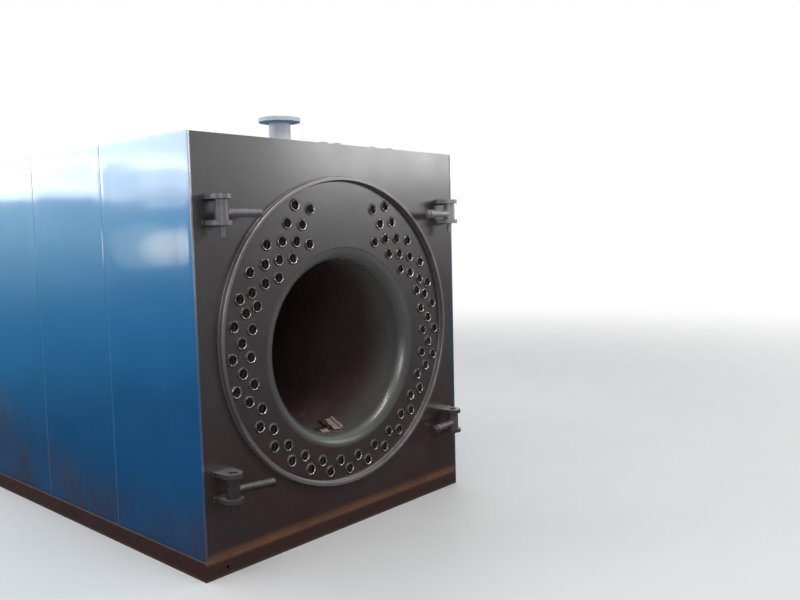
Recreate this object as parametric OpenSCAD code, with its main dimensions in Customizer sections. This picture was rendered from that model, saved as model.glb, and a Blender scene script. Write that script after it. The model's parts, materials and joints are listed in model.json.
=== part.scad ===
// Hot-water fire-tube boiler in a sheet casing, burner door not fitted.
// Origin: centre of the underside of the base. +X right, -Y front, +Z up.

/* [Casing] */
// Space for wool between the shell and a side panel
side_space = 111.5; // [90:0.5:140]
// Space for wool between the shell and the top panels
top_space = 162; // [120:1:200]
// Length of one casing panel, seam to seam
panel_pitch = 738; // [700:1:900]
// Open joint between two panels
seam_gap = 2; // [1:0.5:4]
// Thickness of the casing sheet
sheet_t = 2; // [1.5:0.5:3]
// Depth of the folded panel edges
fold = 12; // [8:1:20]
// Outside radius of the folds
bend_r = 4; // [3:0.5:6]
// How far the panel edges stand proud of the front plate
panel_proud = 2; // [0:0.5:4]

/* [Base] */
// Height of the base channels
base_h = 90; // [70:1:120]
// Width of the channel flanges
channel_flange = 45; // [35:1:60]
// Thickness of the channel steel
channel_t = 8; // [5:0.5:10]
// Hole in the front beam
drain_hole_d = 18; // [12:1:24]
// Sideways place of that hole
drain_hole_x = -772; // [-800:1:-700]
// Height of that hole above the floor
drain_hole_z = 36; // [30:1:45]

/* [Pressure vessel] */
// Outside diameter of the shell and of the raised ring
shell_d = 1552; // [1500:1:1600]
// Wall of the shell and of the raised ring
shell_wall = 18; // [14:1:22]
// Height of the underside of the shell above the base
shell_rise = 146; // [120:1:180]
// How far the ring stands out of the front plate
ring_proud = 28; // [15:1:40]
// Length of the ring behind the front face
ring_depth = 60; // [40:1:90]
// Chamfer on the front edges of the ring
ring_chamfer = 3; // [1:0.5:5]
// Thickness of the square front plate
front_plate_t = 16; // [12:1:20]
// Thickness of the round tube plates
tube_plate_t = 20; // [16:1:26]
// How far the shell ends short of the rear panel
rear_gap = 20; // [10:1:40]
// Thickness of the saddle legs under the shell
saddle_t = 20; // [12:1:25]
// Width of one saddle leg
saddle_leg_w = 220; // [160:5:260]
// Distance of a saddle leg from the middle
saddle_inner = 300; // [200:5:320]

/* [Furnace] */
// How far the furnace axis lies below the shell axis
furnace_drop = 80; // [70:1:90]
// Inside diameter of the furnace
furnace_d = 890; // [870:1:900]
// Wall of the furnace tube
furnace_wall = 14; // [10:1:18]
// Radius of the flared mouth
flare_r = 66; // [60:1:72]
// Water space between the furnace end and the rear tube plate
rear_water = 180; // [120:5:300]
// Inside radius of the dished furnace end
dish_r = 640; // [560:10:800]

/* [Fire tubes] */
// Outside diameter of a tube
tube_d = 51; // [44:1:54]
// Wall of a tube
tube_wall = 3; // [2:0.5:4]
// How far a tube end stands out of its plate
tube_proud = 6; // [3:0.5:10]
// How far the centre of the tube rings lies below the shell axis
ring_drop = 54; // [50:1:58]
// How far tube ring 0 would stand clear of the flared mouth if both had one centre
mouth_gap = 15.5; // [13:0.5:18]
// Least plate between the shell and a tube
edge_gap = 10; // [8:1:14]
// Step from one tube ring to the next
ring_step = 51; // [48:0.5:56]
// Angle between two tubes of a ring in the lower bank
lower_pitch_a = 12; // [11:0.1:13]
// Angle above level at which the lower bank ends
lower_end_a = 18; // [12:1:18]
// Angle between two tubes of a ring in the upper bank
upper_pitch_a = 13; // [12:0.1:13]
// Angle above level of the highest tube
upper_top_a = 72; // [68:0.5:74]
// Angle above level of the tubes between the two banks
shoulder_a = 22.25; // [21.5:0.25:23]

/* [Swing bolts] */
// Distance of a hinge pin from the side of the casing
hinge_inset = 109.5; // [95:0.5:125]
// Height of the lower hinges above the base
hinge_rise = 390; // [350:1:430]
// Distance of the upper hinges below the top of the casing
hinge_drop = 265; // [230:1:300]
// Distance of a hinge pin from the front plate
pin_out = 70; // [62:1:85]
// Width of a lug at the plate
lug_w = 100; // [94:1:115]
// Radius of the nose of a lug
lug_nose_r = 45; // [38:1:47]
// Thickness of a lug
lug_t = 20; // [15:1:24]
// Space between the two lugs of a hinge
lug_gap = 92; // [85:1:100]
// Hole in the upper lug
lug_hole_d = 36; // [32:1:40]
// Diameter of the hinge pin
pin_d = 25; // [20:1:28]
// How far the pin comes out below the lower lug
pin_tail = 50; // [30:1:60]
// How deep the pin head lies in the upper lug
pin_recess = 8; // [4:1:12]
// Thickness of one spacing washer
washer_t = 9; // [6:0.5:12]
// Diameter of a spacing washer
washer_d = 60; // [54:1:64]
// Diameter of the eye of a swing bolt
eye_d = 62; // [58:1:66]
// Diameter of the rod of a swing bolt
rod_d = 36; // [30:1:40]
// Length of the taper between eye and rod, from the pin
neck_len = 37; // [33:1:42]
// Width of that taper at the pin
neck_d = 54; // [48:1:58]
// Length of a swing bolt from its pin to its tip
rod_len = 197; // [180:1:215]
// Diameter of a cone nut at its wide end
nut_d = 50; // [46:1:56]
// Length of a cone nut
nut_len = 62; // [50:1:75]
// How far the rod comes out of a cone nut
nut_tip = 6; // [3:1:15]
// Step from the rod up to the narrow end of a cone nut
nut_step = 1; // [0.5:0.5:4]
// How far the upper left bolt stands out from the plate
swing_upper_left = 4; // [0:1:20]
// How far the lower left bolt stands out
swing_lower_left = 13; // [0:1:25]
// How far the upper right bolt stands out
swing_upper_right = 2; // [0:1:20]
// How far the lower right bolt stands out
swing_lower_right = 8; // [0:1:25]

/* [Water connections] */
// Distance of the flow and return nozzles from the casing ends
nozzle_inset = 460; // [420:1:520]
// Outside diameter of the nozzle pipe
nozzle_d = 114.3; // [88.9:0.1:139.7]
// Wall of the nozzle pipe
nozzle_wall = 4; // [3:0.5:6]
// Height of the flange faces above the casing
nozzle_rise = 180; // [150:1:220]
// Diameter of the nozzle flange
flange_d = 220; // [210:1:250]
// Thickness of the nozzle flange
flange_t = 20; // [16:1:24]
// Bolt circle of the nozzle flange
flange_pcd = 180; // [175:1:195]
// Bolt hole of the nozzle flange
flange_hole_d = 18; // [14:1:18]
// Number of flange bolts
flange_bolts = 8; // [4:4:8]
// Diameter of the raised face of the flange
raised_face_d = 158; // [140:1:160]
// Height of the raised face
raised_face_t = 3; // [2:0.5:4]
// Clearance of the casing round a pipe
pipe_gap = 8; // [4:1:14]
// Outside diameter of the small sockets
socket_d = 48.3; // [33.7:0.1:60.3]
// Wall of the small sockets
socket_wall = 6; // [4:0.5:8]
// Height of the small sockets above the casing
socket_rise = 50; // [40:1:70]
// Distance of the small sockets from the front
socket_inset = 300; // [260:5:340]
// Diameter of the cable inlets
inlet_d = 34; // [28:1:40]
// Wall of the cable inlets
inlet_wall = 3; // [2:0.5:4]
// Diameter of the collar of a cable inlet
collar_d = 52; // [46:1:60]
// Thickness of that collar
collar_t = 8; // [5:1:12]
// Distance between the two lifting lugs
lift_pitch = 900; // [850:5:950]
// Lifting lug thickness
lift_lug_t = 16; // [12:1:20]
// Lifting lug width
lift_lug_w = 110; // [90:1:140]
// Lifting lug height above the casing
lift_lug_rise = 90; // [80:1:95]
// Lifting lug eye
lift_eye_d = 45; // [35:1:50]

/* [Smoke box] */
// How far the smoke box lies inside the round of the shell
smoke_step = 6; // [3:1:10]
// Length of the smoke box behind the casing
smoke_box_len = 320; // [260:1:400]
// Thickness of the smoke box plate
smoke_box_t = 5; // [4:0.5:8]
// Width of the rim round its rear plate
smoke_rim = 20; // [12:1:26]
// Inside diameter of the flue outlet
flue_d = 350; // [300:1:400]
// Wall of the flue outlet
flue_wall = 4; // [3:0.5:6]
// Length of the flue outlet
flue_len = 130; // [100:1:180]
// Height of the flue outlet above the shell axis
flue_rise = 378; // [330:1:410]
// Width of the flue flange
flue_flange_w = 40; // [30:1:50]
// Thickness of the flue flange
flue_flange_t = 8; // [6:1:12]
// Number of bolts of the flue flange
flue_bolts = 12; // [8:4:16]
// Bolt hole of the flue flange
flue_hole_d = 14; // [10:1:16]
// Width of the cleaning cover
cover_w = 520; // [440:1:600]
// Height of the cleaning cover
cover_h = 380; // [320:1:440]
// Thickness of the cleaning cover
cover_t = 12; // [8:1:16]
// Distance of the cleaning cover below the shell axis
cover_drop = 292; // [260:1:330]
// Corner radius of the cleaning cover
cover_r = 40; // [20:1:60]
// Thickness of the frame under the cleaning cover
frame_t = 10; // [6:1:14]
// Width of that frame beyond the cover
frame_w = 16; // [8:1:24]
// Length of a cover handle
handle_len = 160; // [120:5:200]
// Reach of a cover handle
handle_reach = 48; // [40:1:60]
// Thickness of a cover handle
handle_d = 14; // [10:1:18]

/* [Hidden] */
$fn = 64;

// Clearance between pieces that are welded or laid against each other
seat = 0.2;
// Radial clearance between a swing bolt and its pin
running = 0.05;
// Overshoot of a cutting tool past the face it cuts
over = 1;

body_len = 3 * panel_pitch;
front_y = -body_len / 2;
rear_y = body_len / 2;
shell_r = shell_d / 2;
shell_inner_r = shell_r - shell_wall;
shell_axis_z = base_h + shell_rise + shell_r;
casing_w = shell_d + 2 * side_space;
casing_h = shell_axis_z + shell_r + top_space;
half_w = casing_w / 2;
front_plate_w = casing_w - 2 * (fold + seat);
shell_end_y = rear_y - rear_gap;
rear_plate_y = shell_end_y - tube_plate_t;

furnace_axis_z = shell_axis_z - furnace_drop;
ring_axis_z = shell_axis_z - ring_drop;
furnace_r = furnace_d / 2;
flare_outer_r = furnace_r + flare_r;
furnace_start_y = front_y + flare_r;
outer_dish_r = dish_r + furnace_wall;
dish_depth = floor(outer_dish_r - sqrt(dish_r * dish_r - furnace_r * furnace_r));
furnace_end_y = rear_plate_y - rear_water - dish_depth;

hinge_x = half_w - hinge_inset;
hinge_low_z = base_h + hinge_rise;
hinge_high_z = casing_h - hinge_drop;

tube_hole_d = tube_d + 2 * seat;
pipe_hole_r = nozzle_d / 2 + pipe_gap;
flow_y = front_y + nozzle_inset;
return_y = rear_y - nozzle_inset;
flange_face_z = casing_h + nozzle_rise;
smoke_box_d = shell_d - 2 * smoke_step;
smoke_box_end_y = rear_y + smoke_box_len;

seam_1 = front_y + panel_pitch;
seam_2 = seam_1 + panel_pitch;
half_gap = seam_gap / 2;

charcoal = [0.20, 0.20, 0.21];
blue = [0.16, 0.42, 0.66];
rusty = [0.20, 0.14, 0.11];
steel = [0.45, 0.44, 0.43];

// Tubes lie on rings whose centre is above the furnace axis: ring 0 is next to the mouth
function ring_r(ring) = flare_outer_r + mouth_gap + tube_d / 2 + ring * ring_step;
function on_ring(ring, a) = [ring_r(ring) * cos(a), ring_r(ring) * sin(a)];

// A tube is left out where the shell would cut it
function in_shell(p) = norm([p[0], p[1] - ring_drop]) + tube_d / 2 + edge_gap <= shell_inner_r;

// Lower bank: two staggered rings round the bottom, and three tubes at each side
lower_half = (90 + lower_end_a) / lower_pitch_a;
lower_even = floor(lower_half);
lower_odd = floor(lower_half - 0.5) + 0.5;
lower_places = concat(
    [for (i = [-lower_odd:lower_odd]) on_ring(1, -90 + i * lower_pitch_a)],
    [for (i = [-lower_even:lower_even]) on_ring(2, -90 + i * lower_pitch_a)],
    [for (side = [0, 180], i = [-1:1]) on_ring(3, side + i * lower_pitch_a)]
);
lower_tubes = [for (p = lower_places) if (in_shell(p)) p];

// Upper bank: each row is [ring, half pitches below the highest tube, number of tubes]
upper_rows = [[0, 1, 3], [1, 2, 3], [2, 1, 4], [3, 0, 4], [4, 1, 1]];
shoulder_rings = [1, 3];
upper_right = concat(
    [for (row = upper_rows, i = [0:row[2] - 1])
        on_ring(row[0], upper_top_a - (row[1] / 2 + i) * upper_pitch_a)],
    [for (ring = shoulder_rings) on_ring(ring, shoulder_a)]
);
upper_tubes = [for (side = [-1, 1], p = upper_right) if (in_shell(p)) [side * p[0], p[1]]];

// Cylinder along +Y from its start; the big ones are rounder
module along_y(d, len) {
    rotate([-90, 0, 0]) cylinder(d = d, h = len, $fn = d > 400 ? 240 : 64);
}

// Puts a copy of the children at each tube centre
module at_tubes(places) {
    for (p = places) translate([p[0], 0, ring_axis_z + p[1]]) children();
}

// Round disc of a tube plate with all its tube holes
module drilled_disc(y) {
    difference() {
        translate([0, y, shell_axis_z]) along_y(2 * (shell_inner_r - seat), tube_plate_t);
        translate([0, y - over, 0]) at_tubes(concat(lower_tubes, upper_tubes))
            along_y(tube_hole_d, tube_plate_t + 2 * over);
        children();
    }
}

// Channel section lying along +X, web to the front, both ends cut square
module channel(len) {
    rotate([90, 0, 90]) linear_extrude(len) difference() {
        square([channel_flange, base_h]);
        translate([channel_t, channel_t]) square([channel_flange, base_h - 2 * channel_t]);
    }
}

// The same channel with its ends mitred, from its outer corner
module mitred_channel(len) {
    intersection() {
        channel(len);
        linear_extrude(base_h) polygon([
            [0, 0], [len, 0], [len - channel_flange, channel_flange], [channel_flange, channel_flange]
        ]);
    }
}

module base_rail(side) {
    rail_len = body_len - 2 * seat;
    color(rusty) mirror([side < 0 ? 1 : 0, 0, 0])
        translate([half_w, front_y + seat, 0]) rotate([0, 0, 90]) mitred_channel(rail_len);
}

module base_front_beam() {
    color(rusty) difference() {
        translate([-half_w, front_y, 0]) mitred_channel(casing_w);
        translate([drain_hole_x, front_y - over, drain_hole_z]) along_y(drain_hole_d, channel_t + 2 * over);
    }
}

module base_middle_beam() {
    inner_len = casing_w - 2 * (channel_flange + seat);
    color(rusty) translate([-inner_len / 2, -channel_flange / 2, 0]) channel(inner_len);
}

module base_rear_beam() {
    color(rusty) mirror([0, 1, 0]) translate([-half_w, front_y, 0]) mitred_channel(casing_w);
}

// Two saddle legs, cut to the round of the shell
module saddle(y) {
    for (side = [0, 1]) mirror([side, 0, 0]) difference() {
        translate([saddle_inner, y, base_h]) cube([saddle_leg_w, saddle_t, shell_axis_z - base_h]);
        translate([0, y - over, shell_axis_z]) along_y(shell_d + 2 * seat, saddle_t + 2 * over);
    }
}

module shell_saddles() {
    color(charcoal) {
        saddle(-saddle_t / 2);
        saddle(rear_y - channel_flange);
    }
}

module front_plate() {
    color(charcoal) difference() {
        translate([-front_plate_w / 2, front_y, base_h])
            cube([front_plate_w, front_plate_t, casing_h - base_h]);
        translate([0, front_y - over, shell_axis_z]) along_y(shell_d + 2 * seat, front_plate_t + 2 * over);
    }
}

// Raised ring round the tube plate, turned from its outline
module door_ring() {
    outer = shell_r;
    inner = shell_inner_r;
    color(charcoal) translate([0, front_y - ring_proud, shell_axis_z]) rotate([-90, 0, 0])
        rotate_extrude($fn = 240) polygon([
            [inner, ring_chamfer], [inner + ring_chamfer, 0], [outer - ring_chamfer, 0],
            [outer, ring_chamfer], [outer, ring_proud + ring_depth], [inner, ring_proud + ring_depth]
        ]);
}

// Flared furnace mouth: the plate rolls inwards over a quarter circle
module flared_mouth() {
    translate([0, front_y, furnace_axis_z]) rotate([-90, 0, 0]) rotate_extrude($fn = 128) difference() {
        union() {
            translate([flare_outer_r, flare_r]) intersection() {
                circle(flare_r);
                translate([-flare_r, -flare_r]) square(flare_r);
            }
            translate([flare_outer_r - over, 0]) square([over + seat, tube_plate_t]);
        }
        translate([flare_outer_r, flare_r]) circle(flare_r - tube_plate_t);
    }
}

module front_tube_plate() {
    color(charcoal) union() {
        drilled_disc(front_y)
            translate([0, front_y - over, furnace_axis_z]) along_y(2 * flare_outer_r, tube_plate_t + 2 * over);
        flared_mouth();
    }
}

module furnace_tube() {
    len = furnace_end_y - furnace_start_y;
    color(steel) translate([0, furnace_start_y, furnace_axis_z]) difference() {
        along_y(furnace_d + 2 * furnace_wall, len);
        translate([0, -over, 0]) along_y(furnace_d, len + 2 * over);
    }
}

// Dished end: a cap of a hollow sphere that meets the end of the furnace tube
module furnace_end() {
    rim_r = furnace_r + furnace_wall;
    centre_y = furnace_end_y + dish_depth - outer_dish_r;
    color(steel) translate([0, centre_y, furnace_axis_z]) intersection() {
        difference() {
            sphere(outer_dish_r, $fn = 240);
            sphere(dish_r, $fn = 240);
        }
        translate([0, furnace_end_y - centre_y, 0]) along_y(2 * rim_r, outer_dish_r);
    }
}

module fire_tubes(places) {
    tube_len = rear_plate_y + tube_plate_t - front_y + 2 * tube_proud;
    color(steel) translate([0, front_y - tube_proud, 0]) at_tubes(places) difference() {
        along_y(tube_d, tube_len);
        translate([0, -over, 0]) along_y(tube_d - 2 * tube_wall, tube_len + 2 * over);
    }
}

module boiler_shell() {
    start_y = front_y + ring_depth + seat;
    color(charcoal) difference() {
        translate([0, start_y, shell_axis_z]) along_y(shell_d, shell_end_y - start_y);
        translate([0, start_y - over, shell_axis_z]) along_y(2 * shell_inner_r, body_len);
        for (y = [flow_y, return_y]) translate([0, y, shell_axis_z])
            cylinder(d = nozzle_d - 2 * nozzle_wall, h = shell_d);
        for (x = socket_places) translate([x, socket_y, shell_axis_z])
            cylinder(d = socket_d - 2 * socket_wall, h = shell_d);
        translate([0, return_y, shell_axis_z - shell_d])
            cylinder(d = socket_d - 2 * socket_wall, h = shell_d);
    }
}

module rear_tube_plate() {
    color(charcoal) drilled_disc(rear_plate_y);
}

module rear_panel() {
    color(blue) difference() {
        translate([-front_plate_w / 2, rear_y - sheet_t, base_h])
            cube([front_plate_w, sheet_t, casing_h - base_h]);
        translate([0, rear_y - sheet_t - over, shell_axis_z])
            along_y(smoke_box_d + 2 * seat, sheet_t + 2 * over);
    }
}

// Bar of the given length along +X, its two upper long edges rounded like a bend in the sheet
module bent_bar(len, width) {
    rotate([90, 0, 90]) linear_extrude(len) union() {
        square([width, fold - bend_r]);
        translate([bend_r, 0]) square([width - 2 * bend_r, fold]);
        for (x = [bend_r, width - bend_r]) translate([x, fold - bend_r]) circle(bend_r);
    }
}

// Sheet with its face up and all four edges folded down
module folded_sheet(len, width) {
    difference() {
        intersection() {
            bent_bar(len, width);
            translate([len, 0, 0]) rotate([0, 0, 90]) bent_bar(width, len);
        }
        translate([sheet_t, sheet_t, -over])
            cube([len - 2 * sheet_t, width - 2 * sheet_t, fold - sheet_t + over]);
    }
}

// Side panel: the folded sheet stands on its long edge, face outwards
module side_panel(side, from_y, to_y) {
    color(blue) mirror([side < 0 ? 1 : 0, 0, 0]) translate([half_w - fold, from_y, base_h])
        rotate([90, 0, 90]) folded_sheet(to_y - from_y, casing_h - base_h);
}

// Top panel: the folded sheet lies between the side panels
module top_panel(from_y, to_y) {
    color(blue) difference() {
        translate([-front_plate_w / 2, from_y, casing_h - fold]) folded_sheet(front_plate_w, to_y - from_y);
        children();
    }
}

// Hole in a top panel for a pipe that comes up from the shell
module top_hole(x, y, r) {
    translate([x, y, casing_h - fold - over]) cylinder(r = r, h = fold + 2 * over);
}

// Slot in a top panel for a lifting lug
module lug_slot(y) {
    wide = lift_lug_t + pipe_gap;
    long = lift_lug_w + pipe_gap;
    translate([-wide / 2, y - long / 2, casing_h - fold - over]) cube([wide, long, fold + 2 * over]);
}

module smoke_box() {
    len = smoke_box_end_y - shell_end_y;
    color(charcoal) translate([0, shell_end_y, shell_axis_z]) difference() {
        union() {
            along_y(smoke_box_d, len);
            translate([0, len - smoke_box_t, 0]) along_y(smoke_box_d + 2 * smoke_rim, smoke_box_t);
        }
        translate([0, -over, 0]) along_y(smoke_box_d - 2 * smoke_box_t, len - smoke_box_t + over);
        translate([0, 0, flue_rise]) along_y(flue_d, 2 * body_len);
    }
}

// Plate with round corners that stands upright, its middle on the axis
module rounded_plate(w, h, r, t) {
    rotate([90, 0, 0]) translate([0, 0, -t]) linear_extrude(t) union() {
        square([w, h - 2 * r], center = true);
        square([w - 2 * r, h], center = true);
        for (x = [-1, 1], z = [-1, 1]) translate([x * (w / 2 - r), z * (h / 2 - r)]) circle(r);
    }
}

// Bow handle, standing off the cover
module handle(y) {
    for (end = [-1, 1]) translate([0, y, end * handle_len / 2]) {
        along_y(handle_d, handle_reach);
        translate([0, handle_reach, 0]) sphere(d = handle_d, $fn = 48);
    }
    translate([0, y + handle_reach, -handle_len / 2]) cylinder(d = handle_d, h = handle_len);
}

// Cleaning cover on its frame, with a handle at each side
module cleaning_cover() {
    frame_end = frame_t + seat;
    cover_end = frame_end + cover_t;
    color(charcoal) translate([0, smoke_box_end_y, shell_axis_z - cover_drop]) union() {
        translate([0, seat, 0])
            rounded_plate(cover_w + 2 * frame_w, cover_h + 2 * frame_w, cover_r + frame_w, frame_t);
        translate([0, frame_end, 0]) rounded_plate(cover_w, cover_h, cover_r, cover_t);
        for (side = [-1, 1]) translate([side * cover_w / 3, 0, 0]) handle(cover_end);
    }
}

module flue_outlet() {
    flange_start = flue_len - flue_flange_t;
    pcd = flue_d + 2 * flue_wall + flue_flange_w;
    color(charcoal) translate([0, smoke_box_end_y, shell_axis_z + flue_rise]) difference() {
        union() {
            along_y(flue_d + 2 * flue_wall, flue_len);
            translate([0, flange_start, 0])
                along_y(flue_d + 2 * (flue_wall + flue_flange_w), flue_flange_t);
        }
        translate([0, -over, 0]) along_y(flue_d, flue_len + 2 * over);
        for (i = [0:flue_bolts - 1]) rotate([0, (i + 0.5) * 360 / flue_bolts, 0])
            translate([pcd / 2, flange_start - over, 0]) along_y(flue_hole_d, flue_flange_t + 2 * over);
    }
}

// Flanged pipe nozzle standing on the shell
module nozzle(y) {
    pipe_len = flange_face_z - shell_axis_z;
    flange_z = flange_face_z - raised_face_t - flange_t;
    color(steel) translate([0, y, 0]) difference() {
        union() {
            translate([0, 0, shell_axis_z]) cylinder(d = nozzle_d, h = pipe_len);
            translate([0, 0, flange_z]) cylinder(d = flange_d, h = flange_t);
            translate([0, 0, flange_z]) cylinder(d = raised_face_d, h = flange_t + raised_face_t);
        }
        translate([0, 0, shell_axis_z - over])
            cylinder(d = nozzle_d - 2 * nozzle_wall, h = pipe_len + 2 * over);
        for (i = [0:flange_bolts - 1]) rotate([0, 0, (i + 0.5) * 360 / flange_bolts])
            translate([flange_pcd / 2, 0, flange_z - over])
                cylinder(d = flange_hole_d, h = flange_t + 2 * over);
        translate([0, -flange_d, shell_axis_z]) along_y(shell_d + 2 * seat, 2 * flange_d);
    }
}

// Places beside the centre line of the small sockets and of the cable inlets
socket_places = [166, 263];
inlet_places = [545, 690];
socket_y = front_y + socket_inset;

// Pipe socket that comes up from the shell
module socket(x) {
    translate([x, socket_y, 0]) difference() {
        translate([0, 0, shell_axis_z]) cylinder(d = socket_d, h = casing_h + socket_rise - shell_axis_z);
        translate([0, 0, shell_axis_z - over]) cylinder(d = socket_d - 2 * socket_wall, h = shell_d);
        translate([-x, -socket_d, shell_axis_z]) along_y(shell_d + 2 * seat, 2 * socket_d);
    }
}

// Cable inlet: a short pipe with a collar that sits on the top panel
module cable_inlet(x) {
    translate([x, socket_y, casing_h]) difference() {
        union() {
            translate([0, 0, -fold]) cylinder(d = inlet_d, h = fold + socket_rise);
            translate([0, 0, seat]) cylinder(d = collar_d, h = collar_t);
        }
        translate([0, 0, -fold - over])
            cylinder(d = inlet_d - 2 * inlet_wall, h = fold + socket_rise + 2 * over);
    }
}

module safety_sockets() {
    color(steel) {
        for (x = socket_places) socket(x);
        for (x = inlet_places) cable_inlet(x);
    }
}

lift_places = [-lift_pitch / 2, lift_pitch / 2];

// Lifting lugs: plates with an eye, standing on the crown of the shell
module lifting_lugs() {
    top_z = casing_h + lift_lug_rise;
    color(charcoal) for (y = lift_places) translate([0, y, 0]) difference() {
        union() {
            translate([-lift_lug_t / 2, -lift_lug_w / 2, shell_axis_z])
                cube([lift_lug_t, lift_lug_w, top_z - lift_lug_w / 2 - shell_axis_z]);
            translate([-lift_lug_t / 2, 0, top_z - lift_lug_w / 2]) rotate([0, 90, 0])
                cylinder(d = lift_lug_w, h = lift_lug_t);
        }
        translate([-lift_lug_t, 0, top_z - lift_lug_w / 2]) rotate([0, 90, 0])
            cylinder(d = lift_eye_d, h = 2 * lift_lug_t);
        translate([0, -lift_lug_w, shell_axis_z]) along_y(shell_d + 2 * seat, 2 * lift_lug_w);
    }
}

// Drain socket under the shell
module drain_socket() {
    start_z = base_h + shell_rise / 5;
    color(steel) translate([0, return_y, 0]) difference() {
        translate([0, 0, start_z]) cylinder(d = socket_d, h = shell_axis_z - start_z);
        translate([0, 0, base_h]) cylinder(d = socket_d - 2 * socket_wall, h = shell_axis_z);
        translate([0, -socket_d, shell_axis_z]) along_y(shell_d + 2 * seat, 2 * socket_d);
    }
}

// Two lug plates on the front plate; top_z is the top of the upper one
module hinge_lugs(side, top_z) {
    color(charcoal) translate([side * hinge_x, front_y, top_z]) {
        difference() {
            translate([0, 0, -lug_t]) lug();
            translate([0, -pin_out, -lug_t - over]) cylinder(d = lug_hole_d, h = lug_t + 2 * over);
        }
        difference() {
            translate([0, 0, -2 * lug_t - lug_gap]) lug();
            translate([0, -pin_out, -2 * lug_t - lug_gap - over])
                cylinder(d = pin_d + 2 * seat, h = lug_t + 2 * over);
        }
    }
}

module lug() {
    linear_extrude(lug_t) union() {
        polygon([[-lug_w / 2, -seat], [lug_w / 2, -seat], [lug_nose_r, -pin_out], [-lug_nose_r, -pin_out]]);
        translate([0, -pin_out]) circle(lug_nose_r);
    }
}

// Stepped pin held in the lugs, with the washers that space the eye
module hinge_pin(side, top_z) {
    head_bottom = -lug_t - seat;
    color(steel) translate([side * hinge_x, front_y - pin_out, top_z]) {
        translate([0, 0, head_bottom]) cylinder(d = lug_hole_d - 2 * seat, h = -head_bottom - pin_recess);
        translate([0, 0, -2 * lug_t - lug_gap - pin_tail])
            cylinder(d = pin_d, h = 2 * lug_t + lug_gap + pin_tail + head_bottom);
        for (i = [1:3]) translate([0, 0, head_bottom - i * (washer_t + seat)]) difference() {
            cylinder(d = washer_d, h = washer_t);
            translate([0, 0, -over]) cylinder(d = pin_d + 2 * seat, h = washer_t + 2 * over);
        }
    }
}

// Swing bolt: an eye on the pin and a rod that points to the middle of the front
module swing_bolt(side, top_z, swing, with_nut) {
    eye_top = -lug_t - 4 * seat - 3 * (washer_t + seat);
    eye_bottom = -lug_t - lug_gap + 2 * seat;
    rod_z = (eye_top + eye_bottom) / 2;
    color(steel) translate([side * hinge_x, front_y - pin_out, top_z]) mirror([side > 0 ? 1 : 0, 0, 0])
        rotate([0, 0, -swing]) difference() {
            union() {
                translate([0, 0, eye_bottom]) cylinder(d = eye_d, h = eye_top - eye_bottom);
                translate([0, 0, rod_z]) rotate([0, 90, 0]) cylinder(d = rod_d, h = rod_len);
                translate([0, 0, rod_z]) rotate([0, 90, 0]) cylinder(d1 = neck_d, d2 = rod_d, h = neck_len);
                if (with_nut) translate([rod_len - nut_len, 0, rod_z]) rotate([0, 90, 0])
                    cylinder(d1 = rod_d + 2 * nut_step, d2 = nut_d, h = nut_len - nut_tip);
            }
            translate([0, 0, eye_bottom - over])
                cylinder(d = pin_d + 2 * running, h = eye_top - eye_bottom + 2 * over);
        }
}

base_rail(-1);  // base_rail_left
base_rail(1);  // base_rail_right
base_front_beam();
base_middle_beam();
base_rear_beam();
shell_saddles();
front_plate();
door_ring();
front_tube_plate();
furnace_tube();
furnace_end();
fire_tubes(lower_tubes);  // fire_tubes_lower
fire_tubes(upper_tubes);  // fire_tubes_upper
boiler_shell();
rear_tube_plate();
rear_panel();
side_panel(-1, front_y - panel_proud, seam_1 - half_gap);  // side_panel_left_front
side_panel(-1, seam_1 + half_gap, seam_2 - half_gap);  // side_panel_left_middle
side_panel(-1, seam_2 + half_gap, rear_y);  // side_panel_left_rear
side_panel(1, front_y - panel_proud, seam_1 - half_gap);  // side_panel_right_front
side_panel(1, seam_1 + half_gap, seam_2 - half_gap);  // side_panel_right_middle
side_panel(1, seam_2 + half_gap, rear_y);  // side_panel_right_rear
top_panel(front_y + front_plate_t + seat, seam_1 - half_gap) {  // top_panel_front
    top_hole(0, flow_y, pipe_hole_r);
    for (x = socket_places) top_hole(x, socket_y, (socket_d + pipe_gap) / 2);
    for (x = inlet_places) top_hole(x, socket_y, inlet_d / 2 + seat);
    lug_slot(lift_places[0]);
}
top_panel(seam_1 + half_gap, seam_2 - half_gap);  // top_panel_middle
top_panel(seam_2 + half_gap, rear_y - sheet_t - seat) {  // top_panel_rear
    top_hole(0, return_y, pipe_hole_r);
    lug_slot(lift_places[1]);
}
smoke_box();
cleaning_cover();
flue_outlet();
nozzle(flow_y);  // flow_nozzle
nozzle(return_y);  // return_nozzle
safety_sockets();
lifting_lugs();
drain_socket();
hinge_lugs(-1, hinge_high_z);  // hinge_lugs_upper_left
hinge_lugs(-1, hinge_low_z);  // hinge_lugs_lower_left
hinge_lugs(1, hinge_high_z);  // hinge_lugs_upper_right
hinge_lugs(1, hinge_low_z);  // hinge_lugs_lower_right
hinge_pin(-1, hinge_high_z);  // hinge_pin_upper_left
hinge_pin(-1, hinge_low_z);  // hinge_pin_lower_left
hinge_pin(1, hinge_high_z);  // hinge_pin_upper_right
hinge_pin(1, hinge_low_z);  // hinge_pin_lower_right
swing_bolt(-1, hinge_high_z, swing_upper_left, false);  // swing_bolt_upper_left
swing_bolt(-1, hinge_low_z, swing_lower_left, false);  // swing_bolt_lower_left
swing_bolt(1, hinge_high_z, swing_upper_right, true);  // swing_bolt_upper_right
swing_bolt(1, hinge_low_z, swing_lower_right, true);  // swing_bolt_lower_right
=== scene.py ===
"""Looks of a hot-water fire-tube boiler: finishes, welds, threads, sheet metal, light and camera."""
import json
import math
import random

import bpy
from mathutils import Matrix, Vector, noise


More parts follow.
